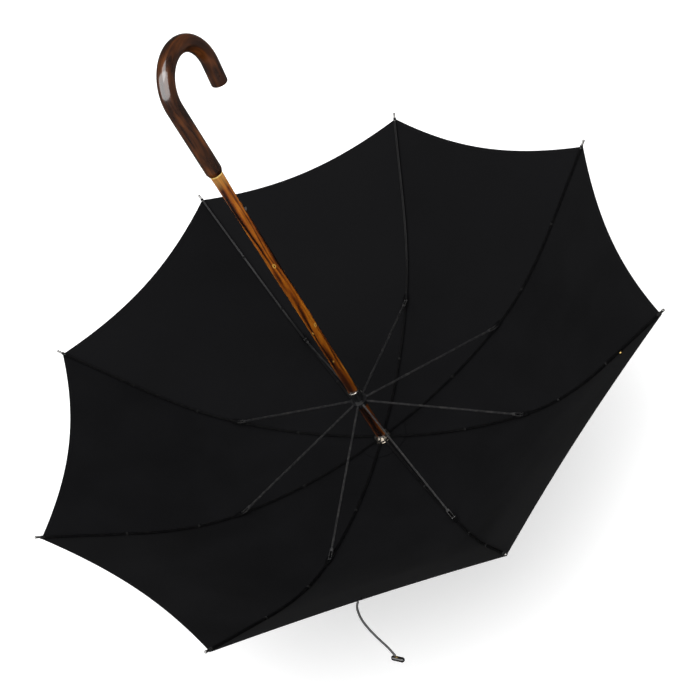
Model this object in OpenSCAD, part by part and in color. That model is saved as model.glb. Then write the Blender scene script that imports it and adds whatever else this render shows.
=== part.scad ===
// Stick umbrella with a crook handle, open, standing on its ferrule.
// Frame: origin at the centre of the ferrule's tip, +Z along the stick to the crook,
// +X the way the crook opens. Sizes are in millimetres.

/* [Frame] */
// Height of the notch's rib pivots above the ferrule's tip
notch_z = 80; // [70:1:100]
// Radius of the circle on which ribs and stretchers pivot
pivot_r = 12; // [12:0.5:14]
// How far the first rib is turned from the way the crook opens, in degrees
rib_turn = 6; // [0:1:20]
// Length of a rib from its eye to its stretcher joint
rib_inner_len = 266; // [255:1:275]
// Bend of that length, in degrees
rib_inner_bend = 22.7; // [20:0.1:25]
// Length of the rib past its tip's socket
rib_outer_len = 344; // [330:1:350]

/* [Rib section] */
// Width of a rib
rib_w = 3.2; // [2.8:0.1:3.4]
// Height of a rib
rib_h = 2.8; // [2.4:0.1:3]
// Width of a stretcher
stretcher_w = 2.6; // [2.2:0.1:3]
// Height of a stretcher
stretcher_h = 2.4; // [2:0.1:2.8]
// Wall of both channels
channel_wall = 0.6; // [0.5:0.05:0.8]

/* [Cover] */
// Thickness of the cloth's solid
cloth_t = 1; // [0.8:0.1:1.2]
// How far the cloth's middle lies outside the ribs' middle
cloth_gap = 3.3; // [3.2:0.1:3.5]
// How far a hem curves in between two tips
hem_scallop = 28; // [15:1:40]

/* [Stick] */
// Radius of the shaft
shaft_r = 8.8; // [8.5:0.1:8.9]
// Radius of the crook and grip
grip_r = 12; // [11:0.1:13]
// Height of the shoulder between shaft and grip, above the notch
shoulder_h = 623; // [615:1:640]
// Height where the crook starts to bend, above the notch
crook_h = 734; // [720:1:760]
// Radius of the crook's bend, to the middle of the wood
crook_r = 52; // [45:1:56]
// Angle of the crook's bend
crook_angle = 188; // [180:1:195]
// Straight length of the crook's nose
nose_len = 32; // [20:1:40]

/* [Runner and catches] */
// Radius of the runner tube's bore
runner_bore_r = 9.1; // [9.1:0.05:9.3]
// Radius of the runner tube's outside
runner_r = 10; // [9.9:0.05:10.1]
// How far the tube stands above the stretchers' pivots
runner_top = 32; // [30:1:36]
// How far the catch's window is above the stretchers' pivots
window_h = 20; // [18:1:22]
// Direction in which both catches face, in degrees
catch_turn = -44; // [-60:1:-30]
// Angle between a closed rib's chord and the stick
closed_gap = 2; // [2:0.5:4]

/* [Strap] */
// Diameter of the closing strap
strap_d = 3.2; // [2.8:0.1:3.6]

/* [Hidden] */
N = 8;
half = 180 / N;
fine = 720;
// A rib's middle line as tangent arcs, each [length, bend], from the eye to the tip
rib_arcs = [
    [rib_inner_len, rib_inner_bend],
    [90, 14.6],
    [100, 9.6],
    [rib_outer_len - 190, 0]
];
rib_len = rib_inner_len + rib_outer_len;

// [r, z, slope] at the end of one arc that starts at p
function arc_end(p, len, bend) = bend == 0
    ? [p.x + len * cos(p.z), p.y + len * sin(p.z), p.z]
    : let (r = len * 180 / (PI * bend))
      [p.x + r * (sin(p.z + bend) - sin(p.z)), p.y + r * (cos(p.z) - cos(p.z + bend)), p.z + bend];
// [r, z, slope] of the rib's middle at the length s from its eye
function rib_at(s, i = 0, p = [pivot_r, 0, 0]) =
    i == len(rib_arcs) - 1 || s <= rib_arcs[i][0]
    ? arc_end(p, s, rib_arcs[i][1] * s / rib_arcs[i][0])
    : rib_at(s - rib_arcs[i][0], i + 1, arc_end(p, rib_arcs[i][0], rib_arcs[i][1]));

joint_at = rib_at(rib_inner_len);
hub_z = 2 * joint_at.y;
link_len = norm([joint_at.x - pivot_r, joint_at.y]);
link_slope = atan2(joint_at.y, joint_at.x - pivot_r);
closed_hub_z = 2 * link_len * cos(closed_gap);

fork_in = rib_w + 0.7;
fork_out = fork_in + 1.4;
fork_len = 13;
pin_r = 0.9;
wire_r = 0.5;
eye_r = 1.6;
eye_bore_r = 0.75;
slot_w = rib_w + 0.5;
tooth_r = 13.4;
catch_len = 34;
catch_w = 2.6;
catch_mid_r = 7.1;
catch_pin_r = 0.6;
stop_z = 92.7;
groove_w = 3.2;
groove_floor = 2.4;
nose_r = grip_r - 0.05;
crook_z = notch_z + crook_h;
shoulder_z = notch_z + shoulder_h;

// ---- placing ----

// Rib k's own plane: X outwards, Z up, origin on the stick at the notch's pivots
module rib_plane(k) translate([0, 0, notch_z]) rotate([0, 0, rib_turn - (k - 1) * 360 / N]) children();
// Gore k's own plane, half way between ribs k and k + 1
module gore_plane(k) rib_plane(k + 0.5) children();
// Origin on the rib's middle line at the length s, X along it
module on_rib(s) {
    p = rib_at(s);
    translate([p.x, 0, p.y]) rotate([0, -p.z, 0]) children();
}
// A cylinder along Y about the origin
module cross_pin(r, len) rotate([90, 0, 0]) cylinder(r = r, h = len, center = true, $fn = 48);

// ---- ribs and stretchers ----

// Rib section: X is away from the centre of the bend, and the channel opens towards it
module rib_section() difference() {
    square([rib_h, rib_w], center = true);
    translate([-channel_wall, 0]) square([rib_h, rib_w - 2 * channel_wall], center = true);
}
// The rib's channel between two lengths, arc by arc
module rib_channel(from, to) {
    starts = [0, rib_arcs[0][0], rib_arcs[0][0] + rib_arcs[1][0], rib_len - rib_arcs[3][0]];
    for (i = [0:3]) {
        lo = max(from, starts[i]);
        hi = min(to, starts[i] + rib_arcs[i][0]);
        if (hi > lo) {
            bend = rib_arcs[i][1] * (hi - lo) / rib_arcs[i][0];
            if (bend == 0)
                on_rib(lo) rotate([0, 90, 0]) linear_extrude(hi - lo) rib_section();
            else
                on_rib(lo) rib_arc((hi - lo) * 180 / (PI * bend), bend);
        }
    }
}
// One arc of the channel, from the origin along X, bending up
module rib_arc(r, bend)
    translate([0, 0, r]) rotate([0, 90, 0]) rotate([90, 0, 0])
        rotate_extrude(angle = bend, $fn = fine) translate([r, 0]) rib_section();

// Inner length of a rib: eye on the notch's wire, channel, saddle with the joint's rivet
module rib(k) color("dimgray") rib_plane(k) difference() {
    union() {
        translate([pivot_r, 0, 0]) cross_pin(eye_r, rib_w);
        rib_channel(1.2, rib_inner_len);
        translate([joint_at.x, 0, joint_at.y]) {
            cross_pin(2.2, rib_w);
            cross_pin(pin_r, fork_out + 0.8);
        }
    }
    translate([pivot_r, 0, 0]) cross_pin(eye_bore_r, 2 * rib_w);
}
// Outer length of a rib, with the round stub that its tip sits on
module rib_outer(k) color("dimgray") rib_plane(k) {
    rib_channel(rib_inner_len + 2.7, rib_len - 6);
    on_rib(rib_len - 7) rotate([0, 90, 0]) cylinder(r = 0.9, h = 9, $fn = 32);
}
// Metal tip: a socket on the rib's stub, closed by a small ball
module rib_tip(k) color("silver") rib_plane(k) on_rib(rib_len - 5.7) rotate([0, 90, 0])
    difference() {
        union() {
            cylinder(r1 = 1.5, r2 = 1.8, h = 3, $fn = 48);
            translate([0, 0, 3]) cylinder(r = 1.8, h = 10, $fn = 48);
            translate([0, 0, 13]) sphere(r = 2.1, $fn = 48);
        }
        translate([0, 0, -1]) cylinder(r = 0.95, h = 9, $fn = 32);
    }
// Stretcher: eye on the runner's wire, channel, and a fork that straddles the rib
module stretcher(k) color("gray") rib_plane(k) translate([pivot_r, 0, hub_z]) rotate([0, link_slope, 0])
    difference() {
        union() {
            cross_pin(eye_r, rib_w);
            translate([1.2, -stretcher_w / 2, -stretcher_h / 2])
                cube([link_len - fork_len - 2, stretcher_w, stretcher_h]);
            translate([link_len - fork_len - 4, -fork_out / 2, -stretcher_h / 2]) cube([4, fork_out, stretcher_h]);
            for (side = [-1, 1]) translate([0, side * (fork_in + fork_out) / 4, 0]) {
                ear_w = (fork_out - fork_in) / 2;
                translate([link_len - fork_len - 2, -ear_w / 2, -1.3]) cube([fork_len + 2, ear_w, 2.6]);
                translate([link_len, 0, 0]) cross_pin(2.2, ear_w);
            }
        }
        translate([link_len, 0, 0]) cross_pin(pin_r + 0.05, 2 * fork_out);
        cross_pin(eye_bore_r, 2 * rib_w);
        translate([4, channel_wall - stretcher_w / 2, channel_wall - stretcher_h / 2])
            cube([link_len - fork_len - 10, stretcher_w - 2 * channel_wall, stretcher_h]);
    }

// ---- notch and runner ----

// Ring with one slot for each rib, open on its outside and its top
module slotted_ring(bore_r, slot_floor_r) difference() {
    union() {
        translate([0, 0, -4.4]) cylinder(r = 14.2, h = 2.2, $fn = 96);
        translate([0, 0, -2.3]) cylinder(r = tooth_r, h = 5.3, $fn = 96);
        children();
    }
    translate([0, 0, -10]) cylinder(r = bore_r, h = 30, $fn = 96);
    for (k = [1:N]) rotate([0, 0, rib_turn - (k - 1) * 360 / N])
        translate([slot_floor_r, -slot_w / 2, -2]) cube([10, slot_w, 12]);
    pivot_wire(wire_r + 0.1);
}
module pivot_wire(r) rotate_extrude($fn = 96) translate([pivot_r, 0]) circle(r = r, $fn = 24);

module notch() color("silver") translate([0, 0, notch_z])
    slotted_ring(shaft_r + 0.05, pivot_r - 1.9) translate([0, 0, 2]) cylinder(r = 9.9, h = 6, $fn = 96);
module notch_wire() color("silver") translate([0, 0, notch_z]) pivot_wire(wire_r);
module stop_pin() color("silver") translate([0, 0, notch_z + stop_z]) rotate([0, 0, catch_turn + 90])
    rotate([0, 90, 0]) cylinder(r = pin_r, h = 20.4, center = true, $fn = 32);

module runner_at_hub() translate([0, 0, notch_z + hub_z]) children();
module runner_tube() color("#1a1a1c") runner_at_hub() difference() {
    translate([0, 0, -8]) cylinder(r = runner_r, h = runner_top + 8, $fn = 96);
    translate([0, 0, -9]) cylinder(r = runner_bore_r, h = runner_top + 10, $fn = 96);
    rotate([0, 0, catch_turn]) translate([5, -1.75, window_h - 3.5]) cube([8, 3.5, 7]);
}
module runner_hub() color("#1a1a1c") runner_at_hub() mirror([0, 0, 1])
    slotted_ring(runner_r + 0.05, runner_r + 0.05);
module runner_wire() color("silver") runner_at_hub() pivot_wire(wire_r);
module runner_rim() color("silver") runner_at_hub() translate([0, 0, runner_top - 3.2]) difference() {
    union() {
        cylinder(r = 11, h = 2.2, $fn = 96);
        translate([0, 0, 2.2]) cylinder(r1 = 11, r2 = 10.4, h = 0.9, $fn = 96);
    }
    translate([0, 0, -1]) cylinder(r = runner_r + 0.05, h = 6, $fn = 96);
}

// ---- catches ----

// A catch's own plane: X outwards, Z along the stick, origin on the axis beside its nose
module catch_plane(h) translate([0, 0, notch_z + h]) rotate([0, 0, catch_turn]) children();
// Leaf with a nose that is steep towards its pivot end and slopes away from it
module catch_leaf() rotate([90, 0, 0]) difference() {
    linear_extrude(catch_w, center = true) {
        polygon([
            [catch_mid_r - 0.6, catch_len], [catch_mid_r + 0.6, catch_len], [catch_mid_r + 0.6, 2.8],
            [11.2, 2.8], [11.2, 1.6], [catch_mid_r + 0.2, -3.4], [catch_mid_r - 0.6, -3.4]
        ]);
        translate([catch_mid_r, catch_len]) circle(r = 1.3, $fn = 32);
    }
    translate([catch_mid_r, catch_len, 0])
        cylinder(r = catch_pin_r + 0.05, h = 2 * catch_w, center = true, $fn = 32);
}
module catch_pin() translate([catch_mid_r, 0, catch_len]) cross_pin(catch_pin_r, 7);
// What is cut from the wood for one catch: its groove and its pin's hole
module catch_groove() {
    translate([groove_floor, -groove_w / 2, -8]) cube([10, groove_w, catch_len + 10.5]);
    translate([catch_mid_r, 0, catch_len]) cross_pin(catch_pin_r + 0.02, 7.1);
}
module at_bottom_catch() catch_plane(closed_hub_z + window_h) children();
module at_top_catch() catch_plane(hub_z + window_h) mirror([0, 0, 1]) children();
module top_catch() color("silver") at_top_catch() catch_leaf();
module bottom_catch() color("silver") at_bottom_catch() catch_leaf();
module catch_pins() color("silver") {
    at_top_catch() catch_pin();
    at_bottom_catch() catch_pin();
}

// ---- stick ----

module stick() color("#6b3216") difference() {
    union() {
        translate([0, 0, 6]) cylinder(r = 5.3, h = 34, $fn = 96);
        translate([0, 0, 40]) cylinder(r1 = 5.3, r2 = 7.6, h = 12, $fn = 96);
        translate([0, 0, 52]) cylinder(r1 = 7.6, r2 = shaft_r, h = 8, $fn = 96);
        translate([0, 0, 60]) cylinder(r = shaft_r, h = shoulder_z - 110, $fn = 96);
        translate([0, 0, shoulder_z - 50]) cylinder(r1 = shaft_r, r2 = shaft_r + 0.5, h = 50, $fn = 96);
        translate([0, 0, shoulder_z]) cylinder(r1 = shaft_r + 1.4, r2 = grip_r, h = 5, $fn = 96);
        translate([0, 0, shoulder_z + 5]) cylinder(r = grip_r, h = crook_z - shoulder_z - 5, $fn = 96);
        crook();
    }
    at_top_catch() catch_groove();
    at_bottom_catch() catch_groove();
    translate([0, 0, notch_z + stop_z]) rotate([0, 0, catch_turn + 90]) rotate([0, 90, 0])
        cylinder(r = pin_r + 0.05, h = 20, center = true, $fn = 32);
}
// The bend and the nose, turned over about Y from the top of the grip
module crook() translate([0, 0, crook_z]) {
    translate([crook_r, 0, 0]) rotate([90, 0, 180])
        rotate_extrude(angle = crook_angle, $fn = 192) translate([crook_r, 0]) circle(r = grip_r, $fn = 96);
    translate([crook_r * (1 - cos(crook_angle)), 0, crook_r * sin(crook_angle)])
        rotate([0, crook_angle, 0]) {
            cylinder(r = nose_r, h = nose_len - 2, $fn = 96);
            translate([0, 0, nose_len - 2]) cylinder(r1 = nose_r, r2 = nose_r - 2, h = 2, $fn = 96);
        }
}
module ferrule() color("silver") difference() {
    union() {
        cylinder(r1 = 5.4, r2 = 6.2, h = 1.5, $fn = 96);
        translate([0, 0, 1.5]) cylinder(r = 6.2, h = 37, $fn = 96);
        translate([0, 0, 38.5]) cylinder(r1 = 6.2, r2 = 8.6, h = 12, $fn = 96);
    }
    translate([0, 0, 5.9]) cylinder(r = 5.4, h = 34.1, $fn = 96);
    translate([0, 0, 40]) cylinder(r1 = 5.4, r2 = 7.7, h = 12, $fn = 96);
}

// ---- cover ----

// Cap on the outside of the cover, pressed on the stick
module top_cap() color("#202022") translate([0, 0, notch_z]) difference() {
    union() {
        translate([0, 0, -9.4]) cylinder(r = 15, h = 2, $fn = 96);
        translate([0, 0, -12.4]) cylinder(r1 = 11, r2 = 15, h = 3, $fn = 96);
    }
    translate([0, 0, -15]) cylinder(r = shaft_r + 0.05, h = 10, $fn = 96);
}
// Cloth washers: one between the cap and the cover, one between the cover and the ribs
module outer_rosette() color("#18181b") translate([0, 0, notch_z - 7.3]) difference() {
    cylinder(r = 21, h = 0.5, $fn = 96);
    translate([0, 0, -1]) cylinder(r = shaft_r + 0.2, h = 3, $fn = 96);
}
module inner_rosette() color("#18181b") translate([0, 0, notch_z]) rotate_extrude($fn = 96)
    polygon([
        [9.2, -4.6], [15, -4.6], [22, -1.9], [44, -1.1],
        [44, -1.5], [22, -2.3], [15, -5], [9.2, -5]
    ]);

// The cloth's middle surface over a rib, as [r, z]: flat under the notch, then outside the rib
function cloth_at(s) = let (p = rib_at(s)) [p.x + cloth_gap * sin(p.z), p.y - cloth_gap * cos(p.z)];
cloth_hub = [[9.9, -6], [15.5, -6], [26, -3.8]];
cloth_fixed = [30, 60, 100, 145, 190, 230, 266, 290, 315, 340, 370, 405, 445, 485, 520];
hem_start = 520;
hem_steps = 3;
across = [-1, -0.6, -0.2, 0.2, 0.6, 1];
function hem_at(w) = rib_len - 2 - hem_scallop * (1 - w * w);
function cloth_line(w) = concat(
    cloth_hub,
    [for (s = cloth_fixed) cloth_at(s)],
    [for (i = [1:hem_steps]) cloth_at(hem_start + (hem_at(w) - hem_start) * i / hem_steps)]
);
// A point of the gore, moved by off along the cloth's normal, inwards when it is positive
function gore_point(line, i, w, off) = let (
    p = line[i],
    d = line[min(i + 1, len(line) - 1)] - line[max(i - 1, 0)],
    n = [-d.y, d.x * cos(half)] / norm([d.y, d.x * cos(half)])
) [p.x * cos(half) + off * n.x, w * (p.x * sin(half) - 0.25), p.y + off * n.y];

rows = len(across);
cols = len(cloth_line(0));
// Index of the point in row j and column i of the inner layer, 0, or the outer one, 1
function at(layer, j, i) = (layer * rows + j) * cols + i;

module gore(k) color("#18181b") gore_plane(k) {
    points = [
        for (off = [cloth_t / 2, -cloth_t / 2]) for (w = across)
            let (line = cloth_line(w)) for (i = [0:cols - 1]) gore_point(line, i, w, off)
    ];
    rim = concat(
        [for (i = [0:cols - 1]) [0, i]],
        [for (j = [1:rows - 1]) [j, cols - 1]],
        [for (i = [cols - 2:-1:0]) [rows - 1, i]],
        [for (j = [rows - 2:-1:1]) [j, 0]]
    );
    faces = concat(
        [for (j = [0:rows - 2]) for (i = [0:cols - 2])
            each [[at(0, j, i), at(0, j + 1, i), at(0, j + 1, i + 1)],
                [at(0, j, i), at(0, j + 1, i + 1), at(0, j, i + 1)]]],
        [for (j = [0:rows - 2]) for (i = [0:cols - 2])
            each [[at(1, j, i), at(1, j + 1, i + 1), at(1, j + 1, i)],
                [at(1, j, i), at(1, j, i + 1), at(1, j + 1, i + 1)]]],
        [for (m = [0:len(rim) - 1])
            let (a = rim[m], b = rim[(m + 1) % len(rim)])
            each [[at(0, a.x, a.y), at(0, b.x, b.y), at(1, b.x, b.y)],
                [at(0, a.x, a.y), at(1, b.x, b.y), at(1, a.x, a.y)]]]
    );
    polyhedron(points, faces, convexity = 4);
}

// Metal button on the inside of the cover beside the third rib
button_s = 515;
module cover_button() color("goldenrod") gore_plane(3) {
    p = cloth_at(button_s);
    slope = rib_at(button_s).z;
    translate([p.x * cos(half), p.x * sin(half) - 9, p.y]) rotate([0, -slope, 0]) translate([0, 0, 0.9]) {
        cylinder(r = 1.6, h = 1.4, $fn = 32);
        translate([0, 0, 1.3]) cylinder(r1 = 3, r2 = 2.4, h = 1.2, $fn = 48);
    }
}

// ---- strap ----

// The strap hangs from the middle of the hem between ribs 4 and 5
module strap_plane() gore_plane(4) {
    p = cloth_at(hem_at(0));
    translate([p.x * cos(half), 0, p.y]) children();
}
// Route of the strap: out from the hem, over, and down
strap_route = [
    [3.2, 0, 2.4], [8, 0, 6], [14, 0, 8.5], [20, 0.5, 8.5], [25, 1, 5.5], [28.5, 1.5, 0], [30.5, 2, -7],
    [31.5, 2.5, -15], [32, 3, -24], [32, 3.5, -33], [32, 4, -42], [31.5, 4.5, -51], [31, 5, -60],
    [30.5, 5.5, -69], [30, 6, -78], [29.5, 6, -87], [29, 6, -96], [28.5, 6, -105]
];
strap_end = strap_route[len(strap_route) - 1];
link_r = 3;
// A ring of the tube about route point i, square to the route
function ring(i, sides) = let (
    d = strap_route[min(i + 1, len(strap_route) - 1)] - strap_route[max(i - 1, 0)],
    t = d / norm(d),
    a = cross([0, 1, 0], t) / norm(cross([0, 1, 0], t)),
    b = cross(t, a)
) [for (j = [0:sides - 1]) strap_route[i] + strap_d / 2 * (a * cos(360 * j / sides) + b * sin(360 * j / sides))];

module strap_tab() color("#18181b") strap_plane() rotate([0, -rib_at(hem_at(0)).z, 0])
    translate([-9, -3.5, 0.9]) cube([12, 7, 1.2]);
module strap() color("#141416") strap_plane() {
    sides = 8;
    n = len(strap_route);
    points = [for (i = [0:n - 1]) each ring(i, sides)];
    faces = concat(
        [[for (j = [sides - 1:-1:0]) j]],
        [for (i = [0:n - 2]) for (j = [0:sides - 1])
            [i * sides + j, i * sides + (j + 1) % sides, (i + 1) * sides + (j + 1) % sides, (i + 1) * sides + j]],
        [[for (j = [0:sides - 1]) (n - 1) * sides + j]]
    );
    polyhedron(points, faces, convexity = 6);
}
module strap_link() color("goldenrod") strap_plane() translate(strap_end + [0, 0, -link_r - 1.2])
    rotate([90, 0, 60]) rotate_extrude($fn = 48) translate([link_r, 0]) circle(r = 0.5, $fn = 16);
module strap_toggle() color("#101012") strap_plane() translate(strap_end + [0, 0, -2 * link_r - 5.4])
    rotate([0, 90, 60]) {
        cylinder(r = 3.5, h = 13, center = true, $fn = 48);
        for (side = [-1, 1]) translate([0, 0, side * 6.5]) sphere(r = 3.5, $fn = 48);
    }

// ---- the nodes ----

stick();
ferrule();
top_cap();
outer_rosette();
inner_rosette();
notch();
notch_wire();
stop_pin();
catch_pins();
top_catch();
bottom_catch();
runner_tube();
runner_hub();
runner_wire();
runner_rim();
for (k = [1:N]) {
    rib(k);
    rib_outer(k);
    rib_tip(k);
    stretcher(k);
    gore(k);
}
cover_button();
strap_tab();
strap();
strap_link();
strap_toggle();
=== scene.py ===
import math

import bpy
import numpy as np
from mathutils import Matrix, Vector


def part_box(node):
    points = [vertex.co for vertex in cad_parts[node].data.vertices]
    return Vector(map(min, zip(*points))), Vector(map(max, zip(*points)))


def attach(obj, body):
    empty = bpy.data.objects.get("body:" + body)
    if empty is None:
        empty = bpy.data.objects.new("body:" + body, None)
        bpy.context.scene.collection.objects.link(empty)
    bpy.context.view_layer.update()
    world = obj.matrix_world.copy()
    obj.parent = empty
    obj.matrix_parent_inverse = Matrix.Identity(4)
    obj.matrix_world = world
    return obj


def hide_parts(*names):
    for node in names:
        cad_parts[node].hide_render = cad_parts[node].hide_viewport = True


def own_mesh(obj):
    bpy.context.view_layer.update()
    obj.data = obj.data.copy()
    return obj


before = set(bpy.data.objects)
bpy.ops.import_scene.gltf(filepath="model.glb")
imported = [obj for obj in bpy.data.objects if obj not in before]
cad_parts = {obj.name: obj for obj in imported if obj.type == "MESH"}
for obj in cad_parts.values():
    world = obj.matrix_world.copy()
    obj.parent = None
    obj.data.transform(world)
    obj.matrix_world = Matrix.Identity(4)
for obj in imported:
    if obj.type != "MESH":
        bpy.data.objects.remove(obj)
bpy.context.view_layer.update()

# ---- view ----
# The umbrella is seen from the handle's side, from above and to the left,
# so that the whole inside of the cover shows with the crook at the top left.
eye = Vector((-0.8917, -0.9120, 1.4680))
looking = Vector((0.52706, 0.51372, -0.67698)).normalized()
upright = Vector((0.77790, 0.02910, 0.62771))
sideways = looking.cross(upright).normalized()
camera = bpy.data.objects.new("camera", bpy.data.cameras.new("camera"))
camera.data.sensor_width = 36
camera.data.lens = 55.13
camera.matrix_world = Matrix.Translation(eye) @ Matrix(
    (sideways, sideways.cross(looking), -looking)
).transposed().to_4x4()
bpy.context.scene.collection.objects.link(camera)
bpy.context.scene.camera = camera

# ---- closing strap ----
# A round woven elastic hangs from the hem half way between the fourth and fifth ribs.
# It is sewn under a small folded tab, and a brass link joins its end to an oval toggle.
notch_z = 0.080
pivot_r = 0.012
joint_s = 0.266
rib_len = 0.610
rib_turn = math.radians(6)
# A rib bends in arcs of these [length, degrees], from the notch to its straight tip
rib_arcs = [(joint_s, 22.7), (0.090, 14.6), (0.100, 9.6), (0.154, 0)]
# Half the turn from one rib to the next, which is half of one gore
half = math.radians(22.5)
cloth_gap = 0.0033
hem_end = rib_len - 0.002
hem_scallop = 0.028


def rib_at(s):
    """Radius, height above the notch and slope of a rib's middle line at the length s."""
    r, z, slope = pivot_r, 0.0, 0.0
    for length, bend in rib_arcs:
        step = min(s, length)
        turn = math.radians(bend) * step / length
        if turn:
            bend_r = step / turn
            r += bend_r * (math.sin(slope + turn) - math.sin(slope))
            z += bend_r * (math.cos(slope) - math.cos(slope + turn))
            slope += turn
        else:
            r, z = r + step * math.cos(slope), z + step * math.sin(slope)
        s -= step
        if s <= 0:
            break
    return r, z, slope


def cloth_at(s):
    """Radius and height above the notch of the cover's middle surface over a rib."""
    r, z, slope = rib_at(s)
    return r + cloth_gap * math.sin(slope), z - cloth_gap * math.cos(slope)


def out(azimuth):
    """Level direction away from the stick."""
    return Vector((math.cos(azimuth), math.sin(azimuth), 0))


def across(azimuth):
    """Level direction round the stick."""
    return Vector((-math.sin(azimuth), math.cos(azimuth), 0))


def rib_azimuth(k):
    """Direction of rib k; the ribs are counted clockwise from above."""
    return rib_turn - (k - 1) * 2 * half


def new_piece(name, points, faces, material=None, smooth=True):
    """A mesh object in the scene, with its place in its mesh."""
    mesh = bpy.data.meshes.new(name)
    mesh.from_pydata([tuple(p) for p in points], [], faces)
    piece = bpy.data.objects.new(name, mesh)
    bpy.context.scene.collection.objects.link(piece)
    if smooth:
        mesh.shade_smooth()
    if material:
        mesh.materials.append(material)
    return piece


def curved(points, steps):
    """Points on a smooth curve through the given ones."""
    line = []
    padded = [2 * points[0] - points[1], *points, 2 * points[-1] - points[-2]]
    for a, b, c, d in zip(padded, padded[1:], padded[2:], padded[3:]):
        for i in range(steps):
            t = i / steps
            line.append(
                0.5 * (2 * b + (c - a) * t + (2 * a - 5 * b + 4 * c - d) * t**2
                       + (3 * b - a - 3 * c + d) * t**3)
            )
    return line + [points[-1]]


def tube(name, line, radius, sides, material):
    """A round tube along a line, closed at both ends, with along and around in its UV map."""
    points, faces, run = [], [], 0.0
    side = Vector((0, 1, 0))
    runs = []
    for i, p in enumerate(line):
        tangent = (line[min(i + 1, len(line) - 1)] - line[max(i - 1, 0)]).normalized()
        side = (side - side.dot(tangent) * tangent).normalized()
        other = tangent.cross(side)
        run += (p - line[i - 1]).length if i else 0
        runs.append(run)
        for j in range(sides):
            a = 2 * math.pi * j / sides
            points.append(p + radius * (side * math.cos(a) + other * math.sin(a)))
    for i in range(len(line) - 1):
        for j in range(sides):
            a, b = i * sides + j, i * sides + (j + 1) % sides
            faces.append((a, b, b + sides, a + sides))
    faces.append(tuple(range(sides - 1, -1, -1)))
    faces.append(tuple(range(len(points) - sides, len(points))))
    piece = new_piece(name, points, faces, material)
    uv = piece.data.uv_layers.new(name="strap")
    for polygon in piece.data.polygons:
        js = [piece.data.loops[i].vertex_index % sides for i in polygon.loop_indices]
        wraps = max(js) - min(js) > 1
        for i, j in zip(polygon.loop_indices, js):
            row = piece.data.loops[i].vertex_index // sides
            turn = (j + sides if wraps and j == 0 else j) / sides
            uv.data[i].uv = (turn, runs[row] / (2 * math.pi * radius))
    return piece


def finish(name, colour, roughness, metallic=0.0, coat=0.0, coat_roughness=0.1, specular=0.5):
    """A new material, its node tree and its shader."""
    material = bpy.data.materials.new(name)
    material.use_nodes = True
    shader = material.node_tree.nodes["Principled BSDF"]
    shader.inputs["Base Color"].default_value = (*colour, 1)
    shader.inputs["Roughness"].default_value = roughness
    shader.inputs["Metallic"].default_value = metallic
    shader.inputs["Coat Weight"].default_value = coat
    shader.inputs["Coat Roughness"].default_value = coat_roughness
    shader.inputs["Specular IOR Level"].default_value = specular
    return material, material.node_tree, shader


def coordinates(tree, source="Object", name="", stretch=(1, 1, 1), turn=(0, 0, 0)):
    """Object, UV or named-attribute coordinates, scaled and turned by a Mapping node."""
    if source == "attribute":
        node = tree.nodes.new("ShaderNodeAttribute")
        node.attribute_name = name
        vector = node.outputs["Vector"]
    elif source == "uv":
        node = tree.nodes.new("ShaderNodeUVMap")
        node.uv_map = name
        vector = node.outputs["UV"]
    else:
        vector = tree.nodes.new("ShaderNodeTexCoord").outputs["Object"]
    mapping = tree.nodes.new("ShaderNodeMapping")
    mapping.inputs["Scale"].default_value = stretch
    mapping.inputs["Rotation"].default_value = turn
    tree.links.new(vector, mapping.inputs["Vector"])
    return mapping.outputs["Vector"]


def noise(tree, vector, scale, detail=4.0, distortion=0.0):
    """Cloudy variation, 0 to 1."""
    node = tree.nodes.new("ShaderNodeTexNoise")
    node.inputs["Scale"].default_value = scale
    node.inputs["Detail"].default_value = detail
    node.inputs["Distortion"].default_value = distortion
    tree.links.new(vector, node.inputs["Vector"])
    return node.outputs["Fac"]


def wave(tree, vector, scale, direction="X"):
    """Even parallel ridges, 0 to 1."""
    node = tree.nodes.new("ShaderNodeTexWave")
    node.bands_direction = direction
    node.inputs["Scale"].default_value = scale
    tree.links.new(vector, node.inputs["Vector"])
    return node.outputs["Fac"]


def math_node(tree, kind, a, b):
    """The sum, product or comparison of two sockets or plain numbers."""
    node = tree.nodes.new("ShaderNodeMath")
    node.operation = kind
    for value, socket in zip((a, b), node.inputs):
        if isinstance(value, (int, float)):
            socket.default_value = value
        else:
            tree.links.new(value, socket)
    return node.outputs["Value"]


def ramp(tree, factor, *stops):
    """A colour or grey for each place of a factor, from (place, colour) stops."""
    node = tree.nodes.new("ShaderNodeValToRGB")
    band = node.color_ramp
    while len(band.elements) < len(stops):
        band.elements.new(0.5)
    for element, (place, colour) in zip(band.elements, stops):
        element.position = place
        element.color = (*colour, 1) if isinstance(colour, tuple) else (colour,) * 3 + (1,)
    tree.links.new(factor, node.inputs["Fac"])
    return node.outputs["Color"]


def mixed(tree, factor, a, b):
    """Colour a where the factor is 0 and colour b where it is 1."""
    node = tree.nodes.new("ShaderNodeMix")
    node.data_type = "RGBA"
    for value, socket in zip((factor, a, b), (node.inputs[0], node.inputs[6], node.inputs[7])):
        if isinstance(value, (int, float)):
            socket.default_value = value
        elif isinstance(value, tuple):
            socket.default_value = (*value, 1)
        else:
            tree.links.new(value, socket)
    return node.outputs[2]


def raised(tree, shader, height, strength, distance):
    """A bump of the given height in metres on the shader."""
    node = tree.nodes.new("ShaderNodeBump")
    node.inputs["Strength"].default_value = strength
    node.inputs["Distance"].default_value = distance
    tree.links.new(height, node.inputs["Height"])
    tree.links.new(node.outputs["Normal"], shader.inputs["Normal"])


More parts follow.
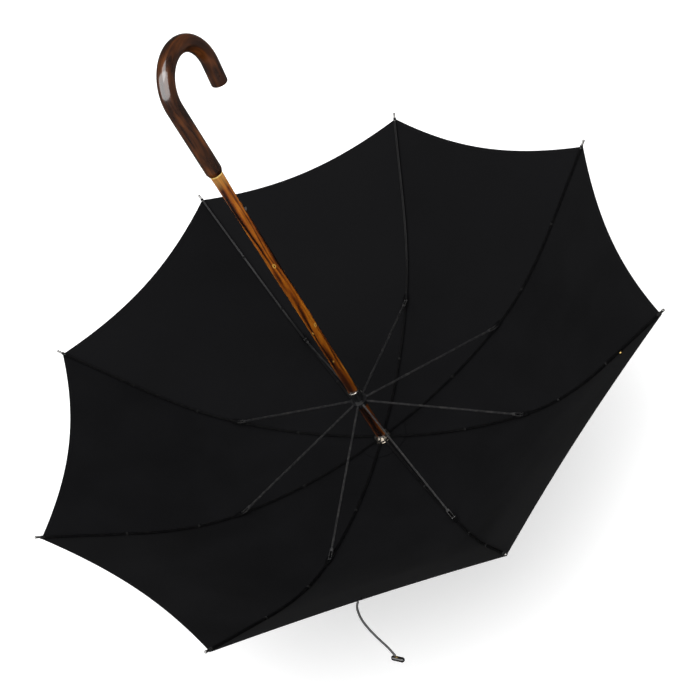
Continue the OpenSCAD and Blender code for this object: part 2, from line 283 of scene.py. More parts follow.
def strap_elastic():
    """Black elastic with a braided cover, its threads crossing at the braid's angle."""
    material, tree, shader = finish("strap_elastic", (0.012, 0.012, 0.013), 0.75)
    shader.inputs["Sheen Weight"].default_value = 0.3
    braid_angle = math.radians(40)
    one = wave(tree, coordinates(tree, "uv", "strap", turn=(0, 0, braid_angle)), 4)
    other = wave(tree, coordinates(tree, "uv", "strap", turn=(0, 0, -braid_angle)), 4)
    braid = math_node(tree, "MAXIMUM", one, other)
    tree.links.new(
        ramp(tree, braid, (0.3, 0.005), (1.0, 0.03)), shader.inputs["Base Color"]
    )
    raised(tree, shader, braid, 0.8, 0.0003)
    return material


strap_d = 0.0032
strap_gore = 4
# Over the hem and down, in millimetres from the hem's middle: outwards, along the hem, up
strap_route = [
    (3.2, 0, 2.4), (8, 0, 6), (14, 0, 8.5), (20, 0.5, 8.5), (25, 1, 5.5), (28.5, 1.5, 0),
    (30.5, 2, -7), (31.5, 2.5, -15), (32, 3, -24), (32, 3.5, -33), (32, 4, -42),
    (31.5, 4.5, -51), (31, 5, -60), (30.5, 5.5, -69), (30, 6, -78), (29.5, 6, -87),
    (29, 6, -96), (28.5, 6, -105),
]
strap_azimuth = rib_azimuth(strap_gore) - half
hem_r, hem_z = cloth_at(hem_end - hem_scallop)
hem_middle = out(strap_azimuth) * hem_r * math.cos(half) + Vector((0, 0, notch_z + hem_z))
strap_line = curved(
    [
        hem_middle
        + (out(strap_azimuth) * x + across(strap_azimuth) * y + Vector((0, 0, z))) / 1000
        for x, y, z in strap_route
    ],
    4,
)
strap = tube("strap_cord", strap_line, strap_d / 2, 16, strap_elastic())
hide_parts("strap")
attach(strap, "strap")

# ---- floor and light ----
# A plain pale floor under the ferrule, an even white sky, and two large soft lamps:
# one beside the handle for the long highlight on the crook, one from above.
# Gloss sees less of the floor and the sky, as it does between a studio's black flags.
bpy.context.scene.view_settings.view_transform = "Standard"
floor_size = 9
floor_white = (0.93, 0.93, 0.93)
floor_glow = 0.35
sky_strength = 1.15
flagged = (0.045, 0.045, 0.045)
paper, paper_tree, paper_shader = finish("floor_paper", floor_white, 0.9, specular=0.1)
paper_white = mixed(
    paper_tree, paper_tree.nodes.new("ShaderNodeLightPath").outputs["Is Glossy Ray"],
    floor_white, flagged,
)
paper_tree.links.new(paper_white, paper_shader.inputs["Base Color"])
paper_tree.links.new(paper_white, paper_shader.inputs["Emission Color"])
paper_shader.inputs["Emission Strength"].default_value = floor_glow
floor = new_piece(
    "floor",
    [(x * floor_size, y * floor_size, 0) for x, y in ((-1, -1), (1, -1), (1, 1), (-1, 1))],
    [(0, 1, 2, 3)],
    paper,
)
sky = bpy.data.worlds.new("sky")
sky.use_nodes = True
sky_light = sky.node_tree.nodes["Background"]
sky_light.inputs["Strength"].default_value = sky_strength
sky.node_tree.links.new(
    mixed(
        sky.node_tree, sky.node_tree.nodes.new("ShaderNodeLightPath").outputs["Is Glossy Ray"],
        (1.0, 1.0, 1.0), flagged,
    ),
    sky_light.inputs["Color"],
)
bpy.context.scene.world = sky


def lamp(name, place, aim, width, height, power):
    """A soft rectangular lamp that points at aim."""
    light = bpy.data.lights.new(name, "AREA")
    light.shape = "RECTANGLE"
    light.size, light.size_y = width, height
    light.energy = power
    holder = bpy.data.objects.new(name, light)
    holder.location = place
    holder.rotation_mode = "QUATERNION"
    holder.rotation_quaternion = (Vector(aim) - Vector(place)).to_track_quat("-Z", "Y")
    bpy.context.scene.collection.objects.link(holder)
    return holder


# The side lamp gives the gloss its highlight and leaves the matt cloth dark
side_lamp = lamp("side_lamp", (-1.48, -0.20, 1.95), (0, 0, 0.85), 6.2, 2.1, 130)
side_lamp.visible_diffuse = False
lamp("top_lamp", (-0.9, -0.7, 3.0), (0, 0, 0.2), 1.6, 1.6, 24)

# ---- stick ----
# One length of chestnut, turned for the shaft, left thick for the grip and steamed round
# for the crook. The shaft is scorched and varnished amber; the handle is stained dark.
shaft_r = 0.0088
grip_r = 0.012
shoulder_z = 0.703
crook_z = 0.814
crook_r = 0.052
crook_angle = math.radians(188)
nose_len = 0.032
stick_foot = 0.006
stick_end = crook_z + crook_r * crook_angle + nose_len
flare_z = shoulder_z - 0.050
# Foot, shaft, flare, shoulder, grip and rounded nose as [length along the stick, radius]
turned_outline = [
    (stick_foot, 0.0053), (0.040, 0.0053), (0.052, 0.0076), (0.060, shaft_r),
    (flare_z, shaft_r), (shoulder_z - 0.004, shaft_r + 0.0005),
    (shoulder_z - 0.0002, shaft_r + 0.0008), (shoulder_z + 0.0002, shaft_r + 0.0016),
    (shoulder_z + 0.005, grip_r), (stick_end - 0.003, grip_r - 0.00005),
    (stick_end - 0.0012, grip_r - 0.0006), (stick_end, grip_r - 0.002),
]
# Knots as [height along the stick, direction in degrees, size]
knots = [
    (0.524, 226, 0.0060), (0.385, 262, 0.0062), (0.372, 185, 0.0040), (0.300, 215, 0.0032),
    (0.455, 60, 0.0036), (0.240, 110, 0.0032), (0.150, 20, 0.0030), (0.640, 330, 0.0034),
    (0.745, 300, 0.0018), (0.832, 268, 0.0016), (0.925, 235, 0.0014), (0.500, 320, 0.0034),
    (0.200, 250, 0.0030),
]


def stick_radius(s):
    """Radius of the turned outline at the length s."""
    return float(np.interp(s, *zip(*turned_outline)))


def stick_frame(s):
    """Middle of the stick at the length s, and the direction of the crook's inside."""
    if s <= crook_z:
        return Vector((0, 0, s)), Vector((1, 0, 0))
    turn = min((s - crook_z) / crook_r, crook_angle)
    inside = Vector((math.cos(turn), 0, -math.sin(turn)))
    middle = Vector((crook_r, 0, crook_z)) - crook_r * inside
    past = s - crook_z - crook_r * crook_angle
    if past > 0:
        middle += past * Vector((math.sin(turn), 0, math.cos(turn)))
    return middle, inside


def knot_heights(s, angle):
    """How far a place is inside the nearest knot, 0 to 1, and in the hollow round it."""
    inside, hollow = 0.0, 0.0
    for height, direction, size in knots:
        turn = (angle - math.radians(direction) + math.pi) % (2 * math.pi) - math.pi
        distance = math.hypot((s - height) * 0.6, turn * stick_radius(s)) / size
        inside = max(inside, math.exp(-((distance / 0.45) ** 2)))
        hollow = max(hollow, math.exp(-(((distance - 1.3) / 0.6) ** 2)))
    return inside, hollow


# Dark streaks along the shaft as [direction, width, sway in degrees, strength]: scorch marks, and
# at 302 degrees a dark band down the whole side that faces right in the view
streaks = [
    (196, 20, 13, 1.2), (302, 26, 9, 1.2), (20, 26, 12, 1.0), (95, 17, 16, 1.0),
    (250, 9, 12, 0.75),
]
# A broad scorch on one side, strongest at the foot and gone at this height
foot_scorch_top = 0.42
foot_scorch_direction = 205
foot_scorch_width = 42
foot_scorch_strength = 1.5


def scorched(s, angle):
    """How dark the streaks and the scorch at the foot make the wood at a place, 0 to 1."""
    dark = 0.0
    for n, (direction, width, sway, strength) in enumerate(streaks):
        centre = direction + sway * math.sin(17 * s + 2.1 * n) + 0.5 * sway * math.sin(47 * s + n)
        turn = (math.degrees(angle) - centre + 180) % 360 - 180
        spread = width * (1 + 0.45 * math.sin(31 * s + 3 * n))
        fade = 0.72 + 0.28 * math.sin(23 * s + 1.7 * n)
        dark = max(dark, strength * fade * math.exp(-((turn / spread) ** 2)))
    low = max(0.0, 1 - s / foot_scorch_top) ** 0.6
    turn = (math.degrees(angle) - foot_scorch_direction + 180) % 360 - 180
    return max(dark, foot_scorch_strength * low * math.exp(-((turn / foot_scorch_width) ** 2)))


def stick_lengths():
    """Places of the rings: on each turn of the outline but the gentle flare, even elsewhere."""
    marks = [s for s, _ in turned_outline if s != flare_z]
    even = [float(s) for s in np.arange(stick_foot, stick_end, ring_step)]
    return sorted(marks + [s for s in even if min(abs(s - m) for m in marks) > ring_clear])


def wood():
    """Amber scorched shaft and dark stained handle under one gloss varnish."""
    material, tree, shader = finish(
        "stick_wood", (0.3, 0.1, 0.02), 0.32, coat=0.9, coat_roughness=0.12, specular=0.2
    )
    shader.inputs["Coat IOR"].default_value = 1.85
    along = tree.nodes.new("ShaderNodeSeparateXYZ")
    tree.links.new(coordinates(tree, "attribute", "grain"), along.inputs["Vector"])
    height = along.outputs["Z"]
    scorch = noise(
        tree, coordinates(tree, "attribute", "grain", stretch=(1, 1, 0.16)), 105, 3, 0.6
    )
    blotch = noise(
        tree, coordinates(tree, "attribute", "grain", stretch=(1, 1, 0.5)), 42, 2, 0.4
    )
    grain = noise(
        tree, coordinates(tree, "attribute", "grain", stretch=(1, 1, 0.04)), 900, 5, 0.2
    )
    uneven = math_node(tree, "ADD", math_node(tree, "MULTIPLY", scorch, 0.65),
                       math_node(tree, "MULTIPLY", blotch, 0.35))
    flame = tree.nodes.new("ShaderNodeAttribute")
    flame.attribute_name = "scorch"
    burnt = math_node(
        tree, "SUBTRACT", math_node(tree, "ADD", math_node(tree, "MULTIPLY", uneven, 0.8), 0.26),
        math_node(tree, "MULTIPLY", flame.outputs["Fac"], 0.42),
    )
    amber = ramp(
        tree, burnt, (0.24, (0.010, 0.0025, 0.0006)), (0.38, (0.060, 0.012, 0.0015)),
        (0.50, (0.21, 0.048, 0.0025)), (0.64, (0.42, 0.125, 0.006)), (0.80, (0.66, 0.27, 0.022)),
    )
    stain = ramp(
        tree, uneven, (0.36, (0.008, 0.0024, 0.0006)), (0.50, (0.034, 0.0090, 0.0016)),
        (0.68, (0.135, 0.036, 0.003)),
    )
    handle = ramp(tree, math_node(tree, "GREATER_THAN", height, shoulder_z), (0, 0.0), (1, 1.0))
    # Paler for the last centimetres under the shoulder, where the flame was kept off
    under_shoulder = math_node(tree, "SUBTRACT", height, shoulder_z - 0.03)
    unburnt = ramp(tree, math_node(tree, "MULTIPLY", under_shoulder, 34), (0.15, 0.0), (0.75, 1.0))
    amber = mixed(tree, math_node(tree, "MULTIPLY", unburnt, 0.55), amber, (0.62, 0.30, 0.06))
    colour = mixed(tree, handle, amber, stain)
    # A thin pale line is painted round the shoulder
    painted = math_node(
        tree, "MULTIPLY",
        math_node(tree, "GREATER_THAN", height, shoulder_z - 0.0022),
        math_node(tree, "LESS_THAN", height, shoulder_z + 0.0006),
    )
    colour = mixed(tree, painted, colour, (0.85, 0.58, 0.18))
    colour = mixed(
        tree, math_node(tree, "MULTIPLY", ramp(tree, grain, (0.35, 1.0), (0.55, 0.0)), 0.35),
        colour, (0.03, 0.008, 0.002),
    )
    # Each knot has a pale rim and a dark heart
    knot = tree.nodes.new("ShaderNodeAttribute")
    knot.attribute_name = "knot"
    pale = mixed(tree, handle, (0.66, 0.34, 0.06), (0.10, 0.035, 0.012))
    near_knot = math_node(
        tree, "ADD", knot.outputs["Fac"],
        math_node(tree, "MULTIPLY", math_node(tree, "SUBTRACT", grain, 0.5), 0.9),
    )
    colour = mixed(
        tree, ramp(tree, near_knot, (0.30, 0.0), (0.62, 0.85)), colour, pale
    )
    colour = mixed(
        tree, ramp(tree, near_knot, (0.74, 0.0), (0.92, 1.0)), colour, (0.012, 0.004, 0.0015)
    )
    tree.links.new(colour, shader.inputs["Base Color"])
    tree.links.new(ramp(tree, grain, (0.2, 0.26), (0.8, 0.42)), shader.inputs["Roughness"])
    raised(tree, shader, grain, 0.18, 0.0002)
    return material


ring_sides = 72
ring_step = 0.0025
ring_clear = 0.0008
# The shaft is a little uneven and its knots stand in hollows; the handle is sanded smoother
uneven_depth = 0.00034
hollow_depth = 0.00040
knot_rise = 0.00025
sanded_hollow_depth = 0.0002
stick_points, stick_faces, grain_values, knot_values, scorch_values = [], [], [], [], []
along_start, round_start = np.random.default_rng(11).uniform(0, 2 * math.pi, 2)
for s in stick_lengths():
    middle, inside = stick_frame(s)
    on_shaft = 0.07 < s < shoulder_z - 0.01
    for j in range(ring_sides):
        angle = 2 * math.pi * j / ring_sides
        knot, hollow = knot_heights(s, angle)
        twist = 2 * math.sin(angle + round_start + s * 23)
        uneven = 0.5 + 0.5 * math.sin(s * 61 + along_start + twist)
        radius = stick_radius(s)
        if on_shaft:
            radius -= uneven_depth * uneven + hollow_depth * hollow - knot_rise * knot
        else:
            radius -= sanded_hollow_depth * hollow
        radial = inside * math.cos(angle) + Vector((0, 1, 0)) * math.sin(angle)
        stick_points.append(middle + radius * radial)
        grain_values += [radius * math.cos(angle), radius * math.sin(angle), s]
        knot_values.append(knot)
        scorch_values.append(scorched(s, angle))
ring_count = len(stick_points) // ring_sides
for i in range(ring_count - 1):
    for j in range(ring_sides):
        a, b = i * ring_sides + j, i * ring_sides + (j + 1) % ring_sides
        stick_faces.append((a, b, b + ring_sides, a + ring_sides))
for first, order in ((0, -1), (len(stick_points) - ring_sides, 1)):
    ring = list(range(first, first + ring_sides))[::order]
    centre = len(stick_points)
    middle = sum((Vector(stick_points[i]) for i in ring), Vector()) / ring_sides
    stick_points.append(middle)
    grain_values += [0, 0, grain_values[3 * ring[0] + 2]]
    knot_values.append(0)
    scorch_values.append(0)
    stick_faces += [(a, b, centre) for a, b in zip(ring, ring[1:] + ring[:1])]
stick = new_piece("wooden_stick", stick_points, stick_faces, wood())
grain_attribute = stick.data.attributes.new("grain", "FLOAT_VECTOR", "POINT")
grain_attribute.data.foreach_set("vector", grain_values)
for label, values in (("knot", knot_values), ("scorch", scorch_values)):
    stick.data.attributes.new(label, "FLOAT", "POINT").data.foreach_set("value", values)

# Grooves for the two catches, cut with a saw: one box each, with more room at the pinned end
catch_turn = math.radians(-44)
groove_w = 0.0032
groove_floor = 0.0024
groove_top = 0.0124
pinned_gap = 0.0021
free_gap = 0.0011
for name, low_gap, high_gap in (
    ("top_catch", pinned_gap, free_gap), ("bottom_catch", free_gap, pinned_gap),
):
    low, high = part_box(name)
    corners = []
    for z in (low.z - low_gap, high.z + high_gap):
        for r, w in ((groove_floor, -1), (groove_top, -1), (groove_top, 1), (groove_floor, 1)):
            corners.append(
                out(catch_turn) * r + across(catch_turn) * w * groove_w / 2 + Vector((0, 0, z))
            )
    saw = new_piece(
        name + "_saw", corners,
        [(3, 2, 1, 0), (4, 5, 6, 7), (0, 1, 5, 4), (1, 2, 6, 5), (2, 3, 7, 6), (3, 0, 4, 7)],
        smooth=False,
    )
    cut = stick.modifiers.new("groove", "BOOLEAN")
    cut.operation = "DIFFERENCE"
    cut.solver = "EXACT"
    cut.object = saw
    bpy.context.view_layer.update()
    grooved = bpy.data.meshes.new_from_object(
        stick.evaluated_get(bpy.context.evaluated_depsgraph_get())
    )
    stick.modifiers.clear()
    stick.data = grooved
    bpy.data.objects.remove(saw)
stick.data.name = "wooden_stick"
stick.data.shade_smooth()
stick.data.set_sharp_from_angle(angle=math.radians(38))
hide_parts("stick")
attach(stick, "stick")

# ---- nickel and brass fittings ----
# Ferrule, notch, wires, pins, catches and the runner's rim are nickel on brass or steel;
# the snap button and the strap's link are bare polished brass. All are pressed or pinned.


def polished(name, colour, roughness, worn):
    """Plated metal with fine scratches and a faint uneven tarnish."""
    material, tree, shader = finish(name, colour, roughness, metallic=1.0)
    tarnish = noise(tree, coordinates(tree), 240, 4)
    scratches = noise(tree, coordinates(tree, stretch=(1, 1, 0.08)), 2600, 3)
    tree.links.new(
        ramp(tree, tarnish, (0.35, worn), (0.6, colour)), shader.inputs["Base Color"]
    )
    both = math_node(tree, "ADD", math_node(tree, "MULTIPLY", tarnish, 0.25),
                     math_node(tree, "MULTIPLY", scratches, 0.2))
    tree.links.new(ramp(tree, both, (0.1, roughness * 0.6), (0.35, roughness * 1.7)),
                   shader.inputs["Roughness"])
    raised(tree, shader, scratches, 0.15, 0.00005)
    return material


def dress(nodes, material):
    """Gives CAD nodes a finished material in place of their plain one."""
    for name in nodes:
        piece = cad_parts[name]
        for place in piece.material_slots:
            place.material = material
        if not piece.material_slots:
            piece.data.materials.append(material)


nickel = polished("nickel_plate", (0.60, 0.56, 0.51), 0.20, (0.34, 0.31, 0.27))
brass = polished("polished_brass", (0.58, 0.40, 0.14), 0.30, (0.28, 0.18, 0.06))
dress(
    ["ferrule", "notch", "notch_wire", "stop_pin", "catch_pins", "runner_wire", "runner_rim"],
    nickel,
)
# The catches' nickel is painted much brighter than the other fittings', a painted reflection that
# makes them read as bright metal
catch_lit_nickel = polished("catch_lit_nickel", (0.92, 0.90, 0.87), 0.30, (0.75, 0.72, 0.68))
dress(["top_catch", "bottom_catch"], catch_lit_nickel)
dress(["cover_button", "strap_link"], brass)

# ---- black frame ----
# Ribs and stretchers are steel strip rolled to a U and lacquered black; the runner is
# enamelled tube; the top cap is a stamped cup. The toggle is turned from black horn.


def lacquer(name, colour, roughness, coat, chips):
    """Black coating, a little thin and grey where it rubs."""
    material, tree, shader = finish(name, colour, roughness, coat=coat, coat_roughness=0.12)
    rubbed = noise(tree, coordinates(tree), 160, 5)
    speck = noise(tree, coordinates(tree), 1500, 2)
    tree.links.new(
        ramp(tree, rubbed, (0.45, colour), (0.72, chips)), shader.inputs["Base Color"]
    )
    tree.links.new(ramp(tree, speck, (0.3, roughness * 0.8), (0.7, roughness * 1.3)),
                   shader.inputs["Roughness"])
    raised(tree, shader, speck, 0.12, 0.00008)
    return material


rib_black = lacquer("rib_lacquer", (0.005, 0.005, 0.006), 0.45, 0.08, (0.012, 0.0115, 0.011))
rib_black.node_tree.nodes["Principled BSDF"].inputs["Specular IOR Level"].default_value = 0.2
# The stretchers' black lacquer is painted a lighter metallic grey than the ribs', a painted
# reflection that makes them read as lit grey lines
stretcher_lit_grey = lacquer("stretcher_lit_lacquer", (0.08, 0.08, 0.083), 0.30, 0.15, (0.17, 0.165, 0.16))
stretcher_lit_grey.node_tree.nodes["Principled BSDF"].inputs["Metallic"].default_value = 0.7
enamel = lacquer("runner_enamel", (0.010, 0.010, 0.011), 0.2, 0.6, (0.02, 0.02, 0.02))
horn = lacquer("toggle_horn", (0.008, 0.008, 0.009), 0.12, 0.8, (0.02, 0.018, 0.016))
ribs = range(1, 9)
dress([f"rib_{k}" for k in ribs] + [f"rib_outer_{k}" for k in ribs], rib_black)
dress([f"stretcher_{k}" for k in ribs], stretcher_lit_grey)
tip_steel = polished("tip_steel", (0.34, 0.33, 0.32), 0.28, (0.16, 0.155, 0.15))
dress([f"rib_tip_{k}" for k in ribs], tip_steel)
dress(["runner_tube", "runner_hub", "top_cap"], enamel)
dress(["strap_toggle"], horn)

# ---- cover ----
# Eight gores of black twill, felled together along the ribs and hemmed between the tips.
# Each half gore is made in five bands from the cap to the hem, each moving with its rib
# as the frame folds. One band ends at the ribs' joint.
cloth_t = 0.0004
hem_w = 0.006
fell_w = 0.003
# The bands as [first length of the rib, last one or the hem, width kept when closed]
bands = [
    (0.0035, 0.090, 0.42), (0.090, 0.160, 0.25), (0.160, 0.266, 0.17), (0.266, 0.430, 0.118),
    (0.430, None, 0.096),
]
# Where the cover lies flat under the cap, as [length, radius, height above the notch]
hub_line = [(0.0035, 0.0155, -0.0060), (0.014, 0.026, -0.0038)]
hub_end = 0.030


def cover_line(s):
    """Radius and height of the cloth over a rib, from the flat round the stick to the hem."""
    if s >= hub_end:
        return cloth_at(s)
    lengths, radii, heights = zip(*hub_line, (hub_end, *cloth_at(hub_end)))
    return float(np.interp(s, lengths, radii)), float(np.interp(s, lengths, heights))


def hem_at(w):
    """Length at which the hem lies, w from 0 in the middle of a gore to 1 at its rib."""
    return hem_end - hem_scallop * (1 - w * w)


def cover_point(k, side, s, w):
    """A point of the taut cloth beside rib k: straight across from rib to rib."""
    r, z = cover_line(s)
    middle = rib_azimuth(k) + side * half
    return (
        out(middle) * r * math.cos(half)
        - across(middle) * side * w * r * math.sin(half)
        + Vector((0, 0, notch_z + z))
    )


def cover_normal(k, side, s, w):
    """Unit normal of the cloth, towards the stick."""
    step = 0.0008
    low = max(s - step, bands[0][0])
    along = cover_point(k, side, s + step, w) - cover_point(k, side, low, w)
    sidewise = cover_point(k, side, s, 1) - cover_point(k, side, s, 0)
    normal = along.cross(sidewise).normalized()
    return normal if normal.z > 0 else -normal


def gather_axis(k, side, start, end):
    """Direction across the gore, square to the rib, and the rib's point that bulges most."""
    r0, z0 = cloth_at(start)
    r1, z1 = cloth_at(end)
    slope = math.atan2(z1 - z0, r1 - r0)
    along = out(rib_azimuth(k)) * math.cos(slope) + Vector((0, 0, math.sin(slope)))
    inwards = out(rib_azimuth(k)) * math.sin(half)
    chord = across(rib_azimuth(k)) * side * math.cos(half) - inwards
    axis = (chord - chord.dot(along) * along).normalized()
    points = [
        out(rib_azimuth(k)) * r + Vector((0, 0, notch_z + z))
        for r, z in (cloth_at(s) for s in np.linspace(start, end, 30))
    ]
    return axis, min(points, key=lambda p: p.dot(axis))


def twill():
    """Fine black umbrella twill: diagonal ribs of weave, a dull sheen, slight unevenness."""
    material, tree, shader = finish("cover_twill", (0.0040, 0.0040, 0.0047), 0.75, specular=0.06)
    shader.inputs["Sheen Weight"].default_value = 0.02
    shader.inputs["Sheen Roughness"].default_value = 0.5
    weave = coordinates(tree, "uv", "cloth", turn=(0, 0, math.radians(45)))
    diagonal = wave(tree, weave, 480)
    thread = wave(tree, coordinates(tree, "uv", "cloth"), 900, "Y")
    height = math_node(tree, "ADD", math_node(tree, "MULTIPLY", diagonal, 0.6),
                       math_node(tree, "MULTIPLY", thread, 0.4))
    uneven = noise(tree, coordinates(tree), 9, 3)
    tone = math_node(tree, "ADD", math_node(tree, "MULTIPLY", height, 0.35),
                     math_node(tree, "MULTIPLY", uneven, 0.65))
    tree.links.new(
        ramp(tree, tone, (0.3, (0.0034, 0.0034, 0.0040)), (0.7, (0.0052, 0.0052, 0.0061))),
        shader.inputs["Base Color"],
    )
    tree.links.new(ramp(tree, uneven, (0.3, 0.70), (0.7, 0.82)), shader.inputs["Roughness"])
    raised(tree, shader, height, 0.35, 0.0001)
    return material


def gathered(piece, body, k, side, start, end):
    """The piece moves with its rib and has a mesh of its own."""
    axis, anchor = gather_axis(k, side, start, end)
    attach(piece, body)
    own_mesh(piece)


cloth = twill()
rows_step = 0.006
columns_step = 0.008
# Shares of a piece's length or width: the step up to its doubled edge, the room before it
edge_step = 0.004
edge_room = 0.01


def cover_piece(name, k, side, start, end, body):
    """One band of half a gore: two layers with a rim, thicker at its fell and its hem."""
    top_end = end if end else hem_end
    steps = max(4, round((top_end - start) / rows_step))
    shares = [i / steps for i in range(steps + 1)]
    if end is None:
        hem_share = 1 - hem_w / (top_end - start)
        shares = [v for v in shares if v < hem_share - edge_room]
        shares += [hem_share, hem_share + edge_step, 1.0]
    width = cover_line(top_end)[0] * math.sin(half)
    fell = 1 - fell_w / width
    count = max(3, round(width / columns_step))
    columns = [fell * j / count for j in range(count + 1)] + [fell + edge_step, 1.0]
    rows, cols = len(shares), len(columns)
    points, normals, flat = [], [], []
    for layer in (1, -1):
        for v in shares:
            for w in columns:
                s = start + v * ((end if end else hem_at(w)) - start)
                normal = cover_normal(k, side, s, w)
                thick = cloth_t / 2
                if layer > 0 and (w > fell or end is None and v > hem_share):
                    thick += cloth_t
                points.append(cover_point(k, side, s, w) + normal * layer * thick)
                normals.append(normal * layer)
                flat.append((w * cover_line(s)[0] * math.sin(half), s))
    faces = []

    def at(layer, i, j):
        return (layer * rows + i) * cols + j

    for i in range(rows - 1):
        for j in range(cols - 1):
            inner = [at(0, i, j), at(0, i, j + 1), at(0, i + 1, j + 1), at(0, i + 1, j)]
            outer = [at(1, i, j), at(1, i + 1, j), at(1, i + 1, j + 1), at(1, i, j + 1)]
            faces += [tuple(inner[::side]), tuple(outer[::side])]
    edge = (
        [(0, j) for j in range(cols)] + [(i, cols - 1) for i in range(1, rows)]
        + [(rows - 1, j) for j in range(cols - 2, -1, -1)]
        + [(i, 0) for i in range(rows - 2, 0, -1)]
    )
    for a, b in zip(edge, edge[1:] + edge[:1]):
        wall = [at(0, *b), at(0, *a), at(1, *a), at(1, *b)]
        faces.append(tuple(wall[::side]))
    piece = new_piece(name, points, faces, cloth)
    mesh = piece.data
    uv = mesh.uv_layers.new(name="cloth")
    corners = []
    for polygon in mesh.polygons:
        is_wall = polygon.index >= len(faces) - len(edge)
        for i in polygon.loop_indices:
            v = mesh.loops[i].vertex_index
            uv.data[i].uv = flat[v]
            corners.append(polygon.normal if is_wall else normals[v])
    mesh.normals_split_custom_set(corners)
    gathered(piece, body, k, side, start, top_end)
    return piece


for k in ribs:
    for side in (-1, 1):
        for number, (start, end, keep) in enumerate(bands, 1):
            body = f"rib_{k}" if start < joint_s else f"rib_outer_{k}"
            piece = cover_piece(
                f"cover_{k}{'ab'[side > 0]}_{number}", k, side, start, end, body
            )
            if side < 0 and end is None:
                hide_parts(f"gore_{k}")

# ---- rosettes and crown ----
# The cover's hole is bound by a flat ring held between the cap and the notch.
# A pinked washer lies under the cap, and a scalloped cloth rosette keeps the ribs off the cover.


def cloth_disc(name, line, body, teeth, pinking=0, start=0, turn=2 * math.pi):
    """A thin sheet turned from [radius, height] points, its edge pinked to this depth."""
    count = 2 * teeth
    cells = count if turn == 2 * math.pi else count - 1
    points, faces = [], []
    angles = [start + turn * j / cells for j in range(count)]
    for layer in (1, -1):
        lift = notch_z + layer * cloth_t / 2
        for i, (r, z) in enumerate(line):
            for j, angle in enumerate(angles):
                bite = pinking * (j % 2) if i == len(line) - 1 else 0
                points.append(out(angle) * (r - bite) + Vector((0, 0, lift + z)))
    rows = len(line)

    def at(layer, i, j):
        return (layer * rows + i) * count + j % count

    for i in range(rows - 1):
        for j in range(cells):
            faces.append((at(0, i, j), at(0, i + 1, j), at(0, i + 1, j + 1), at(0, i, j + 1)))
            faces.append((at(1, i, j), at(1, i, j + 1), at(1, i + 1, j + 1), at(1, i + 1, j)))
    last = rows - 1
    for j in range(cells):
        faces.append((at(0, last, j), at(1, last, j), at(1, last, j + 1), at(0, last, j + 1)))
        faces.append((at(0, 0, j + 1), at(1, 0, j + 1), at(1, 0, j), at(0, 0, j)))
    if cells < count:
        for i in range(last):
            faces.append((at(0, i, 0), at(1, i, 0), at(1, i + 1, 0), at(0, i + 1, 0)))
            faces.append(
                (at(0, i + 1, cells), at(1, i + 1, cells), at(1, i, cells), at(0, i, cells))
            )
    piece = new_piece(name, points, faces, cloth)
    piece.data.set_sharp_from_angle(angle=math.radians(40))
    uv = piece.data.uv_layers.new(name="cloth")
    for loop, corner in zip(piece.data.loops, uv.data):
        corner.uv = piece.data.vertices[loop.vertex_index].co.xy
    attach(piece, body)
    return piece, line[-1][0], sum(p.area for p in piece.data.polygons) / 2


crown, crown_r, crown_area = cloth_disc(
    "cover_crown", [(0.0099, -0.00655), (0.0135, -0.00655), (0.0170, -0.00650)], "stick", 24,
)
washer, washer_r, washer_area = cloth_disc(
    "pinked_washer",
    [(0.0090, -0.00705), (0.015, -0.00705), (0.0195, -0.00700), (0.0208, -0.00695)],
    "stick", 36, pinking=0.0012,
)
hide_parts("outer_rosette")
collar, collar_r, collar_area = cloth_disc(
    "rosette_collar", [(0.0092, -0.00485), (0.0125, -0.00485), (0.0160, -0.00480)], "stick", 24,
)
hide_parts("inner_rosette")
leaf_line = [
    (0.0150, -0.0048), (0.0185, -0.0034), (0.022, -0.0021), (0.030, -0.0018),
    (0.0425, -0.00135), (0.0438, -0.0013),
]
for k in ribs:
    leaf, leaf_r, leaf_area = cloth_disc(
        f"rosette_{k}", leaf_line, f"rib_{k}", 12, pinking=0.0009,
        start=rib_azimuth(k) - half, turn=2 * half,
    )
    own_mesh(leaf)

# ---- sewing ----
# Black thread: one row of stitches along each hem and two along each fell, and a few turns
# of it whipped round each rib to hold the cover on, and round each tip.


def thread():
    """Black sewing thread with a fine twist."""
    material, tree, shader = finish("sewing_thread", (0.006, 0.006, 0.007), 0.7, specular=0.2)
    shader.inputs["Sheen Weight"].default_value = 0.05
    twist = wave(tree, coordinates(tree, turn=(0, math.radians(30), math.radians(20))), 1500)
    tree.links.new(ramp(tree, twist, (0.2, 0.004), (0.9, 0.009)), shader.inputs["Base Color"])
    raised(tree, shader, twist, 0.5, 0.0001)
    return material


